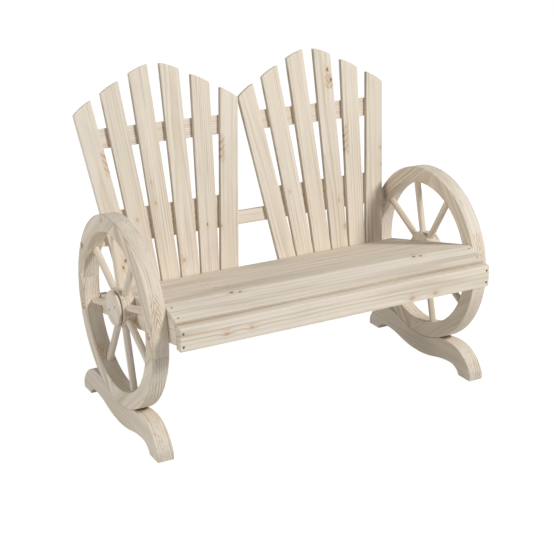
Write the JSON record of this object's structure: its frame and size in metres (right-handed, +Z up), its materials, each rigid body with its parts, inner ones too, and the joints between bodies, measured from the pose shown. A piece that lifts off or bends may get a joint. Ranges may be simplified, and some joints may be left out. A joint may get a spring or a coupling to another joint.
{
  "type": "wagon wheel bench",
  "caption": "Rustic pine garden bench: spoked wagon wheels on scroll feet carry a sloped board seat and a back of fanned slats cut to gabled tops.",
  "frame": {"origin": "on the floor below the middle of the bounding box", "axes": "+X along the seat towards the right of a viewer in front, +Y towards the back, +Z up"},
  "size_m": [1.08, 0.66, 0.95],
  "materials": {
    "pine_seat": "planed and unfinished",
    "pine_back": "planed and unfinished",
    "pine_wheel": "sawn, sanded and unfinished",
    "pine_frame": "sawn and unfinished",
    "zinc_steel": "zinc plated",
    "brass_bolt": "yellow passivated",
    "dark_steel": "dark oxide"
  },
  "bodies": {
    "root": {"apron_screws": "zinc_steel", "back_rail": "pine_back", "back_rail_bolts": "dark_steel", "foot_bolts": "zinc_steel", "front_apron": "pine_seat", "hub_cap_screws": "zinc_steel", "left_back_slat_1": "pine_back", "left_back_slat_2": "pine_back", "left_back_slat_3": "pine_back", "left_back_slat_4": "pine_back", "left_back_slat_5": "pine_back", "left_back_slat_6": "pine_back", "left_felloe_1": "pine_wheel", "left_felloe_2": "pine_wheel", "left_felloe_3": "pine_wheel", "left_felloe_4": "pine_wheel", "left_foot": "pine_frame", "left_hub": "pine_wheel", "left_hub_cap": "pine_wheel", "left_middle_rail": "pine_back", "left_seat_rail": "pine_frame", "left_spokes": "pine_wheel", "left_upper_rail": "pine_back", "lower_rail": "pine_back", "right_back_slat_1": "pine_back", "right_back_slat_2": "pine_back", "right_back_slat_3": "pine_back", "right_back_slat_4": "pine_back", "right_back_slat_5": "pine_back", "right_back_slat_6": "pine_back", "right_felloe_1": "pine_wheel", "right_felloe_2": "pine_wheel", "right_felloe_3": "pine_wheel", "right_felloe_4": "pine_wheel", "right_foot": "pine_frame", "right_hub": "pine_wheel", "right_hub_cap": "pine_wheel", "right_middle_rail": "pine_back", "right_seat_rail": "pine_frame", "right_spokes": "pine_wheel", "right_upper_rail": "pine_back", "seat_bearer": "pine_frame", "seat_board_1": "pine_seat", "seat_board_2": "pine_seat", "seat_board_3": "pine_seat", "seat_board_4": "pine_seat", "seat_nose_board": "pine_seat", "seat_rail_bolts": "brass_bolt", "seat_rail_nuts": "zinc_steel", "seat_screws": "zinc_steel", "slat_screws": "zinc_steel"}
  },
  "joints": []
}
